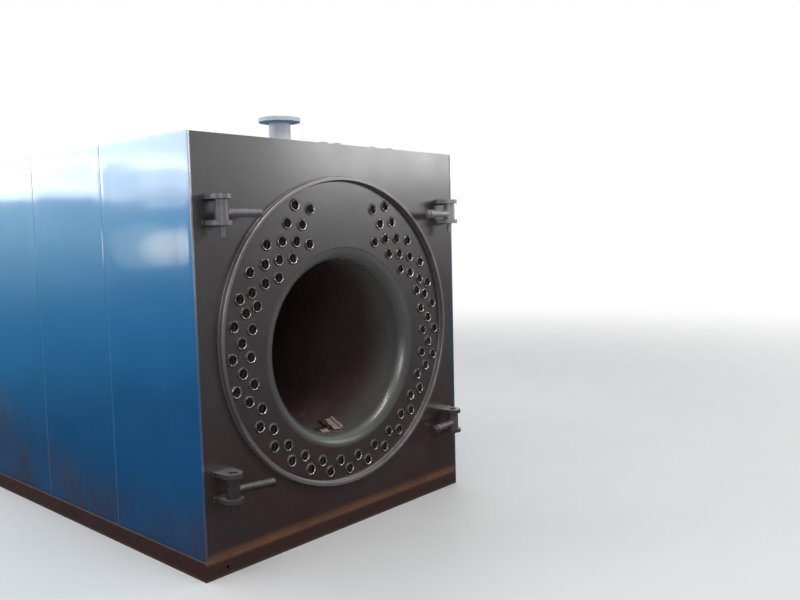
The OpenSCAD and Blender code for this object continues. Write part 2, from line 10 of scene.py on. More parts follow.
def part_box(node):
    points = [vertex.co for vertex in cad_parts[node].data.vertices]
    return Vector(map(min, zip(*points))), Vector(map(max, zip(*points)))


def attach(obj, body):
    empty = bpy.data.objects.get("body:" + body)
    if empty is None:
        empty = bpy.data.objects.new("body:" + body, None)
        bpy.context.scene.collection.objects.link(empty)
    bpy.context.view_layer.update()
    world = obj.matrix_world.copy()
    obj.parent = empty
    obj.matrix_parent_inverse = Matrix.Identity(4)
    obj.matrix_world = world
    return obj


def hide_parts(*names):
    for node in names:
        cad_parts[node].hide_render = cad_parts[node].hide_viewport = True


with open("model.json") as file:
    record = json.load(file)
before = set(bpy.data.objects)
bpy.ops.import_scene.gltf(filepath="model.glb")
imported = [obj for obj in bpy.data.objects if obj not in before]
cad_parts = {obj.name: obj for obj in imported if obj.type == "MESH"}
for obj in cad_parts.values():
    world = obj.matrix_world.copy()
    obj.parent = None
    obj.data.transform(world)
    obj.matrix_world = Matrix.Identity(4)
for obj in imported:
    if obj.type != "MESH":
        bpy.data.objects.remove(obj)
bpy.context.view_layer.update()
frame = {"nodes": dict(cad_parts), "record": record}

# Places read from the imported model, in metres
plate_low, plate_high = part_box("front_plate")
ring_low, ring_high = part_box("door_ring")
furnace_low, furnace_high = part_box("furnace_tube")
FRONT = plate_low[1]
BASE_TOP = plate_low[2]
CASING_TOP = plate_high[2]
SHELL_Z = (ring_low[2] + ring_high[2]) / 2
RING_R = (ring_high[0] - ring_low[0]) / 2
RING_FACE = ring_low[1]
MOUTH_Z = (furnace_low[2] + furnace_high[2]) / 2
MOUTH_END = furnace_low[1]
FLARE_R = MOUTH_END - FRONT
# For each hinge the middle of its pin, and how far its bolt stands open at rest
HINGES = {
    joint["name"].removesuffix("_swing"): (tuple(joint["pos_m"]), math.radians(-joint["range_deg"][0]))
    for joint in frame["record"]["behaviour"]["joints"]
}
SIDES = (("left", -1), ("right", 1))
PANELS = ("front", "middle", "rear")

# Sizes of the solids that their boxes don't give
SHELL_WALL = 0.018
FURNACE_WALL = 0.014
FURNACE_R = (furnace_high[0] - furnace_low[0]) / 2 - FURNACE_WALL
TUBE_R = 0.0255
ROD_R = 0.018
ROD_LEN = 0.197
LUG_HALF = 0.050
LUG_THICK = 0.020
LUG_RISE = 0.080  # from the middle of a pin to the top of its upper lug
LUG_PITCH = 0.112  # from the top of the upper lug to the top of the lower one
SHEET = 0.002
FOLD = 0.012  # height of a side panel's folded edge
BEND = 0.004  # radius of the fold


# ---------------------------------------------------------------- nodes
class Nodes:
    """Adds nodes to one tree. A value is a number, a colour or the output of another node."""

    def __init__(self, tree):
        self.tree = tree
        tree.nodes.clear()

    def add(self, kind, **settings):
        node = self.tree.nodes.new(kind)
        for name, value in settings.items():
            setattr(node, name, value)
        return node

    def feed(self, socket, value):
        if isinstance(value, bpy.types.NodeSocket):
            self.tree.links.new(value, socket)
        elif isinstance(value, tuple):
            socket.default_value = (*value, 1)
        else:
            socket.default_value = value

    def math(self, kind, a, b=0.0, clamp=False):
        node = self.add("ShaderNodeMath", operation=kind, use_clamp=clamp)
        self.feed(node.inputs[0], a)
        self.feed(node.inputs[1], b)
        return node.outputs[0]

    def plus(self, a, b):
        return self.math("ADD", a, b)

    def minus(self, a, b):
        return self.math("SUBTRACT", a, b)

    def times(self, a, b, clamp=False):
        return self.math("MULTIPLY", a, b, clamp)

    def larger(self, a, b):
        return self.math("MAXIMUM", a, b)

    def distance(self, a, b):
        """Distance from an axis, given the offsets from it in two directions."""
        return self.math("SQRT", self.plus(self.math("POWER", a, 2.0), self.math("POWER", b, 2.0)))

    def ease(self, value, low, high, start=0.0, end=1.0):
        """Smooth step from start to end, as a value goes from low to high."""
        node = self.add("ShaderNodeMapRange", interpolation_type="SMOOTHSTEP")
        for socket, given in zip(node.inputs, (value, low, high, start, end)):
            self.feed(socket, given)
        return node.outputs[0]

    def mix(self, amount, a, b):
        """Colour a, going over to b."""
        node = self.add("ShaderNodeMix", data_type="RGBA")
        self.feed(node.inputs["Factor"], amount)
        self.feed(node.inputs[6], a)
        self.feed(node.inputs[7], b)
        return node.outputs[2]

    def tint(self, colour, where, share, shade):
        """A shade laid over a colour, as strong as share where the mask is full."""
        return self.mix(self.times(where, share), colour, shade)


class Shader(Nodes):
    """One procedural material around a Principled shader."""

    def __init__(self, name, metallic=0.0, ior=1.5, coat=0.0, coat_rough=0.1, coat_ior=1.5):
        self.material = bpy.data.materials.new(name)
        self.material.use_nodes = True
        super().__init__(self.material.node_tree)
        self.bsdf = self.add("ShaderNodeBsdfPrincipled")
        self.feed(self.add("ShaderNodeOutputMaterial").inputs[0], self.bsdf.outputs[0])
        self.give("Metallic", metallic)
        self.give("IOR", ior)
        self.give("Coat Weight", coat)
        self.give("Coat Roughness", coat_rough)
        self.give("Coat IOR", coat_ior)
        self.place = self.add("ShaderNodeTexCoord").outputs["Object"]
        self.normal = self.add("ShaderNodeNewGeometry").outputs["Normal"]
        self.relief = None

    def give(self, name, value):
        self.feed(self.bsdf.inputs[name], value)

    def axis(self, which, source=None):
        """One coordinate of the place on the part, or of another vector."""
        node = self.add("ShaderNodeSeparateXYZ")
        self.feed(node.inputs[0], source or self.place)
        return node.outputs["XYZ".index(which)]

    def noise(self, scale, detail, rough, stretch=(1, 1, 1), shift=0.0):
        place = self.place
        if stretch != (1, 1, 1) or shift:
            mapping = self.add("ShaderNodeMapping")
            mapping.inputs["Scale"].default_value = stretch
            mapping.inputs["Location"].default_value = (shift, shift, shift)
            self.feed(mapping.inputs[0], place)
            place = mapping.outputs[0]
        node = self.add("ShaderNodeTexNoise")
        self.feed(node.inputs["Scale"], scale)
        self.feed(node.inputs["Detail"], detail)
        self.feed(node.inputs["Roughness"], rough)
        self.feed(node.inputs["Vector"], place)
        return node.outputs["Fac"]

    def facing_up(self, low=0.3, high=0.9):
        return self.ease(self.axis("Z", self.normal), low, high)

    def facing_front(self):
        return self.ease(self.axis("Y", self.normal), -0.6, -0.9)

    def bump(self, height, distance, strength=1.0):
        """Fine relief, on top of what was given before."""
        node = self.add("ShaderNodeBump")
        self.feed(node.inputs["Strength"], strength)
        self.feed(node.inputs["Distance"], distance)
        self.feed(node.inputs["Height"], height)
        if self.relief is not None:
            self.feed(node.inputs["Normal"], self.relief)
        self.relief = node.outputs[0]

    def finish(self, colour, rough):
        self.give("Base Color", colour)
        self.give("Roughness", rough)
        if self.relief is not None:
            self.give("Normal", self.relief)
        return self.material


# ---------------------------------------------------------------- materials
ENAMEL = {"coat_rough": 0.08, "coat_ior": 1.85}
ORANGE_RUST = (0.145, 0.066, 0.032)
RIGHT_SIDE = 0.3, 0.7  # over this width what is left goes over into what is right
# heights over which the painted glare on the upper hinges fades in
GLARE_HEIGHTS = 1.2, 1.5


def make_casing_blue():
    """Glossy enamel with grime low down, dust on top and a painted highlight along its folded edges."""
    s = Shader("casing_blue", metallic=0.5, ior=1.4, **ENAMEL)
    s.give("Coat Weight", s.minus(1.0, s.times(s.facing_up(), 0.9)))
    y, z = s.axis("Y"), s.axis("Z")
    tone = s.noise(1.3, 2.0, 0.5, (1, 0.5, 1))
    colour = s.mix(tone, (0.002, 0.086, 0.238), (0.003, 0.108, 0.298))
    streak = s.noise(7.0, 3.0, 0.6, (1, 1, 0.10))
    colour = s.tint(colour, s.ease(streak, 0.5, 0.85), 0.14, (0.02, 0.12, 0.29))
    back = s.times(s.ease(y, -0.2, 1.3), 0.34)
    low = s.ease(s.minus(z, back), 0.50, 0.10)
    grime = s.times(low, s.ease(s.noise(2.6, 4.0, 0.55, (1, 1, 0.6)), 0.15, 0.8))
    colour = s.tint(colour, grime, 0.85, (0.052, 0.028, 0.038))
    dust = s.times(s.facing_up(), s.ease(s.noise(11.0, 6.0, 0.7), 0.35, 0.7))
    colour = s.tint(colour, dust, 0.30, (0.22, 0.24, 0.26))
    # painted highlight: light grey along the folded edges, where the folds catch the light
    colour = s.tint(colour, casing_edge_highlight(s, y, z), 0.85, (0.36, 0.40, 0.41))
    rough = s.ease(s.noise(4.0, 4.0, 0.55), 0.2, 0.8, 0.40, 0.48)
    rough = s.plus(rough, s.times(grime, 0.15))
    rough = s.plus(rough, s.times(dust, 0.3))
    s.bump(s.noise(2.2, 1.0, 0.4, (1, 0.45, 1.3)), 0.0028)
    return s.finish(colour, rough)


def casing_edge_highlight(s, y, z):
    """Painted highlight along the folds: the front edge, more so high up, the top edge and, fainter, the
    foot.
    """
    front_edge = s.times(s.ease(y, FRONT + 0.0020, FRONT + 0.0005), s.ease(z, 0.9, 1.75, 0.12, 1.0))
    top_edge = s.ease(z, CASING_TOP - 0.0045, CASING_TOP - 0.0025)
    foot_edge = s.ease(z, BASE_TOP + 0.0050, BASE_TOP + 0.0030)
    edge = s.larger(s.larger(front_edge, top_edge), s.times(foot_edge, 0.5))
    edge = s.times(edge, s.minus(1.0, s.facing_up(0.85, 0.99)))
    return s.times(edge, s.ease(s.noise(9.0, 4.0, 0.6), 0.1, 0.6, 0.45, 1.0))


def make_charcoal():
    """Primer of front plate, tube plate, ring and lugs, as thin as it is in each place."""
    s = Shader("charcoal_primer", coat_rough=0.18)
    x, y, z = s.axis("X"), s.axis("Y"), s.axis("Z")
    from_middle = s.distance(x, s.minus(z, SHELL_Z))
    from_mouth = s.distance(x, s.minus(z, MOUTH_Z))
    tone = s.noise(2.6, 4.0, 0.6)
    colour = s.mix(tone, (0.018, 0.0165, 0.0185), (0.031, 0.029, 0.031))
    fine = s.noise(34.0, 5.0, 0.65)
    colour = s.mix(s.ease(fine, 0.35, 0.75, 0.0, 0.30), colour, (0.038, 0.034, 0.036))
    # painted shade: the primer goes darker and browner towards the bottom
    low_painted_shade = s.times(s.ease(z, 1.0, 0.15), s.ease(s.noise(3.0, 4.0, 0.6, shift=3.0), 0.1, 0.7))
    colour = s.tint(colour, low_painted_shade, 0.8, (0.036, 0.0145, 0.0135))
    colour = ring_wear_and_highlight(s, colour, from_middle, y, z)
    flare_edge = FURNACE_R + FLARE_R
    flare = s.times(s.ease(from_mouth, flare_edge + 0.010, flare_edge - 0.020), s.ease(y, 0.0, -0.5))
    charcoal_sheen(s, flare, from_middle, from_mouth)
    # the flare's own lighter colour, with painted light on it
    colour = s.mix(s.times(flare, 0.8), colour, flare_colour_and_light(s, flare, from_mouth, z))
    colour = lug_painted_light(s, colour, x, y, z)
    band = s.times(s.ease(z, BASE_TOP + 0.038, BASE_TOP + 0.008), s.facing_front())
    band = s.times(band, s.ease(s.noise(7.0, 4.0, 0.6, (1, 1, 0.5)), 0.0, 0.6, 0.45, 1.0))
    colour = s.tint(colour, band, 0.6, ORANGE_RUST)
    dust = s.times(s.facing_up(), s.ease(s.noise(16.0, 6.0, 0.7), 0.25, 0.65))
    dust = s.times(dust, s.minus(1.0, flare))
    colour = s.tint(colour, dust, 0.6, (0.22, 0.20, 0.185))
    streak = s.ease(s.noise(13.0, 4.0, 0.6, (1, 1, 0.10), 7.0), 0.58, 0.80)
    colour = s.tint(colour, streak, 0.25, (0.055, 0.047, 0.044))
    rough = s.ease(s.noise(7.0, 5.0, 0.65), 0.2, 0.8, 0.27, 0.38)
    rough = s.minus(rough, s.times(flare, 0.04))
    rough = s.plus(rough, s.times(dust, 0.3))
    s.bump(s.noise(3.0, 2.0, 0.5), 0.0012, s.minus(1.0, s.times(flare, 0.8)))
    s.bump(s.noise(160.0, 4.0, 0.6), 0.00018, s.times(s.minus(1.0, flare), 0.5))
    return s.finish(colour, rough)


def ring_wear_and_highlight(s, colour, from_middle, y, z):
    """The ring is worn on its face and has a painted highlight on its outer edge, strongest high up."""
    ring = s.times(s.ease(y, FRONT, FRONT - 0.002), s.ease(from_middle, RING_R - 0.032, RING_R - 0.026))
    ring = s.times(ring, s.ease(from_middle, RING_R + 0.005, RING_R + 0.001))
    lower = s.ease(z, SHELL_Z + 0.45, SHELL_Z - 0.10)
    worn = s.times(ring, s.ease(s.noise(5.0, 5.0, 0.7, shift=1.0), 0.2, 0.7, 0.45, 0.80))
    worn = s.times(worn, s.ease(lower, 0.0, 1.0, 0.8, 1.2), clamp=True)
    colour = s.mix(worn, colour, (0.118, 0.104, 0.109))
    # painted highlight: light grey on the ring's outer edge, fading towards the bottom
    edge_highlight = s.ease(from_middle, RING_R - 0.0045, RING_R - 0.0025)
    edge_highlight = s.times(edge_highlight, s.ease(y, RING_FACE + 0.006, RING_FACE + 0.003))
    edge_highlight = s.times(edge_highlight, s.ease(s.noise(8.0, 5.0, 0.7, shift=6.0), 0.25, 0.6, 0.45, 1.0))
    edge_highlight = s.times(s.times(edge_highlight, ring), s.ease(lower, 0.0, 1.0, 0.8, 0.25))
    return s.mix(edge_highlight, colour, (0.34, 0.33, 0.335))


def charcoal_sheen(s, flare, from_middle, from_mouth):
    """Thin coat, weaker on the tube plate and weakest on the outer part of the furnace flare."""
    inner = RING_R - SHELL_WALL
    inside = s.ease(from_middle, inner + 0.004, inner - 0.004)
    outer = s.times(flare, s.ease(from_mouth, FURNACE_R + 0.018, FURNACE_R + 0.040))
    sheen = s.minus(s.minus(0.60, s.times(inside, 0.08)), s.times(flare, 0.02))
    s.give("Coat Weight", s.minus(sheen, s.times(outer, 0.42)))
    s.give("Specular IOR Level", s.minus(0.5, s.times(outer, 0.30)))


def flare_colour_and_light(s, flare, from_mouth, z):
    """The furnace flare is lighter than the plate, with painted light: lighter high up where it faces down,
    and a painted lit patch low in its throat.
    """
    # painted light: lighter high up where the flare faces down, lightest in a lit patch low in its throat
    colour = s.mix(s.ease(z, MOUTH_Z - 0.2, MOUTH_Z + 0.3), (0.062, 0.064, 0.061), (0.100, 0.099, 0.098))
    lit_throat = s.times(flare, s.ease(from_mouth, FURNACE_R + 0.022, FURNACE_R + 0.008))
    lit_throat = s.times(lit_throat, s.ease(z, MOUTH_Z + 0.1, MOUTH_Z - 0.2, 0.0, 0.7))
    return s.mix(lit_throat, colour, (0.115, 0.113, 0.110))


def lug_painted_light(s, colour, x, y, z):
    """The hinge lugs are painted lighter than the plate as painted light, darker low down, with a painted
    glare at the upper right.
    """
    # painted light: proud lugs lighter than the plate, more so high up, with a painted glare at the upper
    # right
    proud = s.times(s.ease(y, FRONT - 0.012, FRONT - 0.024), s.ease(s.math("ABSOLUTE", x), 0.66, 0.70))
    glare = s.times(s.ease(z, *GLARE_HEIGHTS), s.ease(x, *RIGHT_SIDE))
    lug = s.mix(glare, (0.110, 0.102, 0.106), (0.240, 0.232, 0.235))
    lug = s.mix(s.ease(z, 0.7, 1.3), (0.044, 0.036, 0.039), lug)
    return s.mix(s.times(proud, 0.8), colour, lug)


def make_base_steel():
    """Rusty channels under old paint, with an orange band under the casing."""
    s = Shader("base_steel", ior=1.25)
    z = s.axis("Z")
    rust = s.ease(s.noise(14.0, 6.0, 0.7), 0.3, 0.75)
    colour = s.mix(rust, (0.036, 0.0105, 0.0100), (0.020, 0.0085, 0.0080))
    spots = s.ease(s.noise(50.0, 5.0, 0.7), 0.56, 0.74)
    colour = s.tint(colour, spots, 0.5, (0.11, 0.042, 0.020))
    front = s.facing_front()
    colour = s.tint(colour, front, 0.5, (0.034, 0.020, 0.017))
    band = s.times(s.ease(z, BASE_TOP - 0.028, BASE_TOP - 0.002), front)
    band = s.times(band, s.ease(s.noise(7.0, 4.0, 0.6, (1, 1, 0.5)), 0.0, 0.6, 0.45, 1.0))
    colour = s.tint(colour, band, 0.8, ORANGE_RUST)
    side = s.ease(s.math("ABSOLUTE", s.axis("X", s.normal)), 0.6, 0.9)
    edge = s.ease(z, BASE_TOP - 0.007, BASE_TOP - 0.0025)
    edge = s.times(edge, s.ease(s.noise(16.0, 4.0, 0.6, (1, 1, 0.3)), 0.1, 0.6, 0.3, 1.0))
    colour = s.tint(colour, s.times(edge, side), 0.6, (0.20, 0.15, 0.14))
    colour = s.tint(colour, s.ease(z, 0.020, 0.0), 0.4, (0.09, 0.066, 0.052))
    rough = s.ease(s.noise(20.0, 5.0, 0.7), 0.2, 0.8, 0.5, 0.8)
    s.bump(s.noise(90.0, 5.0, 0.7), 0.0008, 0.7)
    return s.finish(colour, rough)


def make_furnace_steel():
    """Bare furnace wall with scale and dust, and smoother, lighter grey near the mouth up to a ragged line,
    where the grey is painted light falling in.
    """
    s = Shader("furnace_steel")
    tone = s.noise(5.0, 6.0, 0.7, (1, 0.35, 1))
    colour = s.mix(tone, (0.044, 0.026, 0.027), (0.076, 0.041, 0.042))
    flake = s.ease(s.noise(38.0, 5.0, 0.7), 0.54, 0.66)
    colour = s.tint(colour, flake, 0.30, (0.11, 0.052, 0.043))
    mill = s.ease(s.noise(11.0, 4.0, 0.6, shift=5.0), 0.55, 0.7)
    colour = s.tint(colour, mill, 0.45, (0.030, 0.022, 0.023))
    dust = s.times(s.facing_up(0.7, 1.0), s.ease(s.noise(24.0, 5.0, 0.7), 0.3, 0.7))
    colour = s.tint(colour, dust, 0.4, (0.13, 0.095, 0.078))
    # painted light: a lighter grey near the mouth, where light falls in
    ragged = s.plus(s.axis("Y"), s.times(s.noise(3.5, 4.0, 0.6, shift=9.0), -0.22))
    near_mouth = s.ease(ragged, MOUTH_END + 0.16, MOUTH_END - 0.08)
    colour = s.mix(near_mouth, colour, (0.096, 0.092, 0.088))
    rough = s.ease(s.noise(18.0, 5.0, 0.6), 0.2, 0.8, 0.38, 0.66)
    rough = s.minus(rough, s.times(near_mouth, 0.16))
    s.bump(s.noise(70.0, 5.0, 0.65), 0.0006, s.minus(0.7, s.times(near_mouth, 0.55)))
    return s.finish(colour, rough)


def make_tube_steel():
    """Dull tube wall, as the bore shows it."""
    s = Shader("tube_steel", metallic=0.2)
    tone = s.noise(30.0, 5.0, 0.7, (1, 0.3, 1))
    colour = s.mix(tone, (0.110, 0.100, 0.096), (0.200, 0.185, 0.175))
    rough = s.ease(s.noise(60.0, 4.0, 0.6), 0.2, 0.8, 0.42, 0.7)
    s.bump(s.noise(220.0, 4.0, 0.7), 0.0003, 0.6)
    return s.finish(colour, rough)


def make_bolt_steel():
    """Hinge steel with spots of rust, painted lighter towards the top and on the right, with a painted glare
    at the upper right.
    """
    s = Shader("bolt_steel", metallic=0.35)
    tone = s.noise(26.0, 5.0, 0.65)
    z = s.axis("Z")
    low = s.mix(tone, (0.024, 0.020, 0.022), (0.048, 0.040, 0.043))
    # painted light: lighter on the right and towards the top, with a painted glare at the upper right
    right = s.ease(s.axis("X"), *RIGHT_SIDE)
    low = s.mix(right, low, s.mix(tone, (0.058, 0.048, 0.052), (0.110, 0.092, 0.099)))
    high = s.mix(tone, (0.085, 0.077, 0.083), (0.160, 0.147, 0.156))
    colour = s.mix(s.ease(z, 0.6, 1.4), low, high)
    glare = s.times(s.ease(z, *GLARE_HEIGHTS), right)
    colour = s.tint(colour, glare, 0.7, (0.300, 0.285, 0.290))
    rust = s.ease(s.noise(48.0, 5.0, 0.7, shift=2.0), 0.56, 0.72)
    colour = s.tint(colour, rust, 0.55, (0.11, 0.045, 0.024))
    dust = s.times(s.facing_up(), s.ease(s.noise(30.0, 5.0, 0.7), 0.25, 0.7))
    colour = s.tint(colour, dust, 0.5, (0.34, 0.31, 0.30))
    rough = s.ease(s.noise(40.0, 5.0, 0.6), 0.2, 0.8, 0.30, 0.52)
    s.bump(s.noise(300.0, 3.0, 0.6), 0.0002, 0.5)
    return s.finish(colour, rough)


def make_pipe_steel():
    """Light grey primer of nozzles and sockets, dusty on top."""
    s = Shader("pipe_steel")
    tone = s.noise(18.0, 5.0, 0.65)
    colour = s.mix(tone, (0.46, 0.455, 0.455), (0.58, 0.572, 0.570))
    settled = s.times(s.facing_up(), s.ease(s.noise(24.0, 5.0, 0.7), 0.2, 0.6, 0.5, 0.9))
    colour = s.mix(settled, colour, (0.24, 0.225, 0.21))
    rust = s.ease(s.noise(42.0, 6.0, 0.7, shift=4.0), 0.56, 0.72)
    colour = s.tint(colour, rust, 0.5, (0.13, 0.055, 0.028))
    rough = s.ease(s.noise(26.0, 4.0, 0.6), 0.2, 0.8, 0.42, 0.62)
    s.bump(s.noise(180.0, 4.0, 0.6), 0.00025, 0.6)
    return s.finish(colour, rough)


def make_lip():
    """Rolled and ground tube end, bare and bright."""
    s = Shader("tube_lip", metallic=1.0)
    tone = s.noise(120.0, 3.0, 0.6)
    colour = s.mix(tone, (0.56, 0.545, 0.54), (0.90, 0.885, 0.875))
    stain = s.ease(s.noise(45.0, 4.0, 0.65, shift=6.0), 0.46, 0.58)
    colour = s.tint(colour, stain, 0.85, (0.07, 0.058, 0.052))
    rough = s.ease(s.noise(90.0, 3.0, 0.6), 0.2, 0.8, 0.16, 0.34)
    s.bump(s.noise(500.0, 2.0, 0.5), 0.0001, 0.6)
    return s.finish(colour, rough)


def make_bore():
    """Front of a tube's bore, rolled clean."""
    s = Shader("tube_bore", metallic=0.15)
    tone = s.noise(60.0, 4.0, 0.6, (1, 0.4, 1))
    colour = s.mix(tone, (0.055, 0.048, 0.047), (0.105, 0.094, 0.092))
    s.bump(s.noise(300.0, 3.0, 0.6), 0.0002, 0.5)
    return s.finish(colour, s.ease(tone, 0.2, 0.8, 0.35, 0.5))


def make_weld():
    """Weld bead under a thin coat of primer."""
    s = Shader("weld_bead", metallic=0.1)
    tone = s.noise(70.0, 4.0, 0.65)
    colour = s.mix(tone, (0.022, 0.020, 0.021), (0.056, 0.050, 0.050))
    rough = s.ease(s.noise(110.0, 3.0, 0.6), 0.2, 0.8, 0.32, 0.55)
    s.bump(s.noise(260.0, 3.0, 0.6), 0.0003, 0.7)
    return s.finish(colour, rough)


def make_scrap():
    """Pale offcuts with a first bloom of rust."""
    s = Shader("offcut")
    tone = s.noise(60.0, 4.0, 0.6)
    colour = s.mix(tone, (0.30, 0.205, 0.185), (0.50, 0.395, 0.350))
    s.bump(s.noise(200.0, 3.0, 0.6), 0.0004, 0.6)
    return s.finish(colour, s.ease(tone, 0.2, 0.8, 0.45, 0.7))


def make_flake():
    """Dark flakes of mill scale."""
    s = Shader("mill_flake", metallic=0.4)
    tone = s.noise(80.0, 4.0, 0.6)
    colour = s.mix(tone, (0.020, 0.016, 0.016), (0.070, 0.055, 0.052))
    s.bump(s.noise(240.0, 3.0, 0.6), 0.0003, 0.6)
    return s.finish(colour, s.ease(tone, 0.2, 0.8, 0.25, 0.5))


def make_strip():
    """Light blue strip with the gloss of the panels beside it, as painted light: it fills a seam's shaded gap
    with a light line.
    """
    s = Shader("seam_strip", coat=1.0, **ENAMEL)
    tone = s.noise(9.0, 4.0, 0.6, (1, 1, 0.2))
    colour = s.mix(tone, (0.035, 0.120, 0.230), (0.070, 0.175, 0.300))
    s.bump(s.noise(40.0, 2.0, 0.5), 0.0003, 0.5)
    return s.finish(colour, s.ease(tone, 0.2, 0.8, 0.35, 0.5))


MATERIALS = {
    "casing_blue": make_casing_blue(),
    "charcoal_primer": make_charcoal(),
    "base_steel": make_base_steel(),
    "furnace_steel": make_furnace_steel(),
    "tube_steel": make_tube_steel(),
    "bolt_steel": make_bolt_steel(),
    "pipe_steel": make_pipe_steel(),
}
LIP = make_lip()
BORE = make_bore()
WELD = make_weld()
SCRAP = make_scrap()
FLAKE = make_flake()
STRIP = make_strip()

for part in frame["record"]["subparts"]:
    carried = frame["nodes"][part["node"]]
    if not carried.material_slots:
        carried.data.materials.append(None)
    for held in carried.material_slots:
        held.material = MATERIALS[part["material_slot"]]


# ---------------------------------------------------------------- mesh helpers
def add_mesh(name, points, faces, body, materials, picks=None, smooth=True):
    mesh = bpy.data.meshes.new(name)
    mesh.from_pydata(points, [], faces)
    for material in materials:
        mesh.materials.append(material)
    if picks:
        mesh.polygons.foreach_set("material_index", picks)
    if smooth:
        mesh.polygons.foreach_set("use_smooth", [True] * len(mesh.polygons))
    mesh.update()
    piece = bpy.data.objects.new(name, mesh)
    bpy.context.collection.objects.link(piece)
    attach(piece, body)
    return piece


def loop_faces(rows, around, start=0):
    """Quads between rows of points, where each row is a closed loop."""
    faces = []
    for row in range(rows - 1):
        a = start + row * around
        for i in range(around):
            j = (i + 1) % around
            faces.append((a + i, a + j, a + around + j, a + around + i))
    return faces


def grid_faces(rows, wide):
    """Quads between rows of points, where each row is open."""
    return [
        (row * wide + i, row * wide + i + 1, (row + 1) * wide + i + 1, (row + 1) * wide + i)
        for row in range(rows - 1) for i in range(wide - 1)
    ]


def turned(faces):
    """The same faces, looking the other way."""
    return [tuple(reversed(face)) for face in faces]


def lump(a, b, c):
    """Smooth random value of about -1 to 1, the same each time for the same place."""
    return noise.noise(Vector((a, b, c)))


# ---------------------------------------------------------------- tube ends
END_DEPTH = 0.001  # points this close to the foremost one belong to the front end
POINT_GAP = 0.012  # points closer together than this belong to one tube
# Radius, and depth behind the front plate, from the bore over the rolled lip to the foot of the weld
LIP_PROFILE = [
    (0.0224, 0.045), (0.0208, 0.028), (0.0204, 0.010), (0.0208, 0.004), (0.0216, -0.0006),
    (0.0227, -0.0044), (0.0239, -0.0065), (0.0250, -0.0071), (0.0259, -0.0064), (0.0268, -0.0048),
    (0.0281, -0.0032), (0.0297, -0.0014), (0.0312, 0.0006),
]
BORE_END, LIP_END = 2, 7  # rows of the profile where the lip and the weld begin
AROUND = 48
WELD_WIDTHS = 0.95, 1.10  # narrowest and widest weld, as shares of the profile's
LIP_TILTS = 0.0003, 0.0016  # least and most that a lip leans out to one side
WELD_SWELL, WELD_HUMP = 0.30, 0.35  # slow changes in a weld's width and height, as shares of them
WELD_GRAIN, WELD_GRIT = 0.00045, 0.0004  # fine changes in them
LIP_WARP, LIP_GRAIN = 0.0005, 0.00018  # slow and fine changes in a lip


def tube_centres(node):
    """Centres of a node's tubes, from the points on their front ends."""
    points = [v.co for v in frame["nodes"][node].data.vertices]
    front = min(p.y for p in points)
    ends = [Vector((p.x, p.z)) for p in points if p.y < front + END_DEPTH]
    groups = []
    while ends:
        group = [ends.pop()]
        for seen in group:
            near = [p for p in ends if (p - seen).length < POINT_GAP]
            ends = [p for p in ends if (p - seen).length >= POINT_GAP]
            group.extend(near)
        xs = [p.x for p in group]
        zs = [p.y for p in group]
        groups.append(((min(xs) + max(xs)) / 2, (min(zs) + max(zs)) / 2))
    return sorted(groups)


def tube_ends(node, name):
    """Rolled lip and weld on the front end of each of a node's tubes, no two alike."""
    rng = random.Random(len(name))
    bands = [2] * BORE_END + [0] * (LIP_END - BORE_END) + [1] * (len(LIP_PROFILE) - 1 - LIP_END)
    points, faces, picks = [], [], []
    for x, z in tube_centres(node):
        faces += loop_faces(len(LIP_PROFILE), AROUND, len(points))
        picks += [pick for pick in bands for _ in range(AROUND)]
        seed = rng.uniform(0, 90)
        wide = rng.uniform(*WELD_WIDTHS)
        lean = rng.uniform(0, math.tau)
        tilt = rng.uniform(*LIP_TILTS)
        for row, (radius, depth) in enumerate(LIP_PROFILE):
            for i in range(AROUND):
                a = math.tau * i / AROUND
                ca, sa = math.cos(a), math.sin(a)
                wave = lump(ca * 2.2 + seed, sa * 2.2, row * 0.4)
                fine = lump(ca * 7 + seed, sa * 7, row * 0.9)
                r, y = radius, depth
                if row >= LIP_END:
                    r = TUBE_R + (radius - TUBE_R) * (wide + WELD_SWELL * wave) + WELD_GRAIN * fine
                    y = depth * (1 + WELD_HUMP * wave) + WELD_GRIT * fine
                elif depth < 0:
                    r = radius + LIP_GRAIN * fine
                    y = depth + tilt * math.cos(a - lean) + LIP_WARP * wave
                points.append((x + r * ca, FRONT + y, z + r * sa))
    add_mesh(name, points, turned(faces), "boiler", [LIP, WELD, BORE], picks)


tube_ends("fire_tubes_lower", "tube_end_welds_lower")
tube_ends("fire_tubes_upper", "tube_end_welds_upper")


# ---------------------------------------------------------------- weld beads
BEAD_POINTS = 7  # points across a bead
BEAD_ARC = 1.3 * math.pi
BEAD_RIPPLE = 900  # radians of ripple in a metre
BEAD_RIDGE, BEAD_SWELL = 0.10, 0.22  # height of its ripples and of its slow changes, as shares of its radius
RING_BEAD = 0.0040
RING_LIFT = 0.0005  # from the ring's wall to the middle of its bead
RING_STEPS = 420
LUG_BEAD = 0.0045
LONG_STEPS, SHORT_STEPS = 16, 5  # along the long and the short side of a lug's foot


